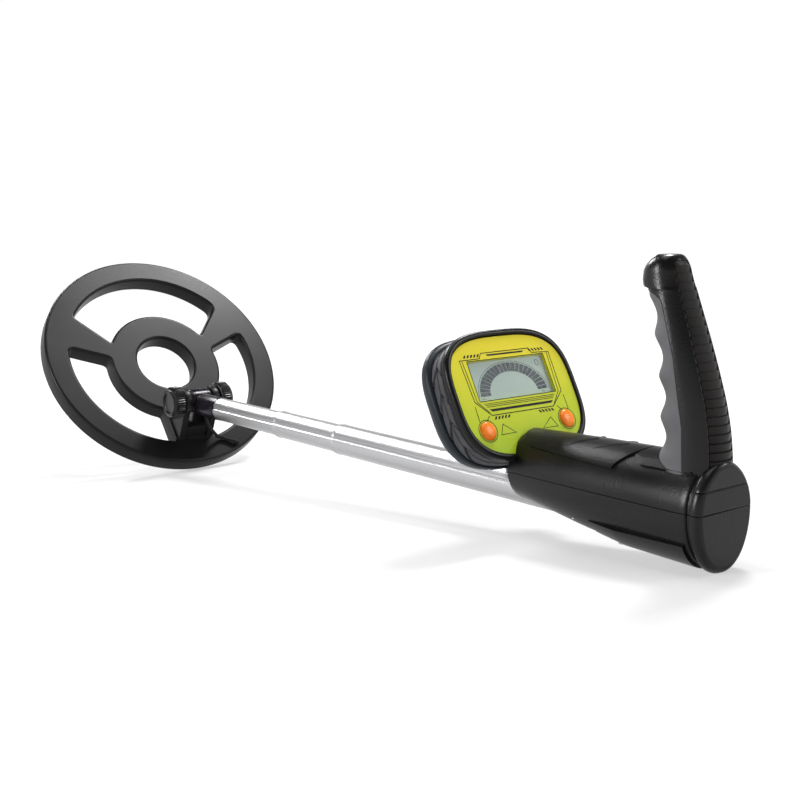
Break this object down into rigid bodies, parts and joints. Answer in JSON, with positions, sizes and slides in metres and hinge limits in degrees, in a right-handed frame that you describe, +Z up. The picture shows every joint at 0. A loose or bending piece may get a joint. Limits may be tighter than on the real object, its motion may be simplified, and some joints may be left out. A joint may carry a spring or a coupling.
{
  "type": "metal detector",
  "caption": "Hand-held metal detector with an open round search coil on a telescopic tube, a dial display housing and an upright pistol grip.",
  "frame": {"origin": "middle of the footprint on the floor that the coil rim and the heel of the handle rest on", "axes": "+X from the handle towards the coil, +Y to the left of a user who holds it, +Z up"},
  "size_m": [0.5452, 0.17, 0.1456],
  "materials": {
    "coil_plastic": "glossy moulded",
    "copper": "enamelled copper winding",
    "screw_steel": "plain",
    "black_rubber": "matt",
    "bolt_steel": "turned",
    "knob_plastic": "satin moulded",
    "brass_insert": "turned",
    "end_plastic": "smooth moulded",
    "tube_metal": "satin plated",
    "bush_nylon": "natural nylon",
    "cable": "matt sheath",
    "body_plastic": "fine textured",
    "saddle_plastic": "moulded",
    "battery_case": "painted",
    "speaker_frame": "pressed",
    "shell_gloss": "glossy moulded",
    "insert_rubber": "soft matt",
    "strip_rubber": "ribbed",
    "housing_plastic": "smooth",
    "bezel_gloss": "glossy moulded",
    "face_print": "printed yellow-green",
    "screen_clear": "clear",
    "screen_body": "display module",
    "board": "circuit board",
    "switch_plastic": "moulded",
    "button_orange": "glossy moulded"
  },
  "bodies": {
    "handle": {"lower_shell": "body_plastic", "upper_shell": "body_plastic", "shell_screws": "screw_steel", "tube_saddle": "saddle_plastic", "battery": "battery_case", "battery_snap": "black_rubber", "speaker": "speaker_frame", "speaker_grille": "black_rubber", "grip_shell": "shell_gloss", "grip_insert": "insert_rubber", "back_strip": "strip_rubber", "display_back_shell": "housing_plastic", "display_band": "housing_plastic", "face_gasket": "black_rubber", "display_bezel": "bezel_gloss", "faceplate": "face_print", "screen_window": "screen_clear", "screen_module": "screen_body", "circuit_board": "board", "tact_switches": "switch_plastic", "display_screws": "screw_steel", "rear_tube": "tube_metal", "inner_lead": "cable"},
    "door": {"battery_door": "body_plastic", "door_screw": "screw_steel"},
    "middle_section": {"middle_tube": "tube_metal", "middle_bush": "bush_nylon"},
    "front_section": {"front_tube": "tube_metal", "front_bush": "bush_nylon", "pole_end": "end_plastic", "crimp_pins": "bolt_steel"},
    "coil": {"coil_top_shell": "coil_plastic", "coil_bottom_cover": "coil_plastic", "transmit_winding": "copper", "receive_winding": "copper", "coil_screws": "screw_steel", "lead_grommet": "black_rubber", "ear_washers": "black_rubber", "coil_lead": "cable"},
    "left_knob": {"knob_left": "knob_plastic", "pivot_bolt": "bolt_steel"},
    "right_knob": {"knob_right": "knob_plastic", "knob_nut": "brass_insert"},
    "power_key": {"power_button": "button_orange"},
    "reset_key": {"reset_button": "button_orange"}
  },
  "joints": [
    {"name": "middle_slide", "type": "slide", "parent": "handle", "child": "middle_section", "axis": [0.9976, 0, 0.0687], "range_m": [-0.054, 0.1], "deforming": ["inner_lead"]},
    {"name": "front_slide", "type": "slide", "parent": "middle_section", "child": "front_section", "axis": [0.9976, 0, 0.0687], "range_m": [-0.068, 0.085], "deforming": ["inner_lead"]},
    {"name": "coil_tilt", "type": "hinge", "parent": "front_section", "child": "coil", "pos_m": [0.16814, 0, 0.04825], "axis": [0, 1, 0], "range_deg": [-48, 51], "deforming": ["coil_lead"]},
    {"name": "left_knob_turn", "type": "hinge", "parent": "coil", "child": "left_knob", "pos_m": [0.16814, 0, 0.04825], "axis": [0, 1, 0], "range_deg": [0, 540]},
    {"name": "right_knob_turn", "type": "hinge", "parent": "coil", "child": "right_knob", "pos_m": [0.16814, 0, 0.04825], "axis": [0, 1, 0], "range_deg": [-540, 0]},
    {"name": "door_pull", "type": "slide", "parent": "handle", "child": "door", "axis": [0.0687, 0, -0.9976], "range_m": [0, 0.03]},
    {"name": "power_press", "type": "slide", "parent": "handle", "child": "power_key", "axis": [0.9131, 0, -0.4077], "range_m": [0, 0.0008], "stiffness_N_per_m": 600},
    {"name": "reset_press", "type": "slide", "parent": "handle", "child": "reset_key", "axis": [0.9131, 0, -0.4077], "range_m": [0, 0.0008], "stiffness_N_per_m": 600}
  ]
}
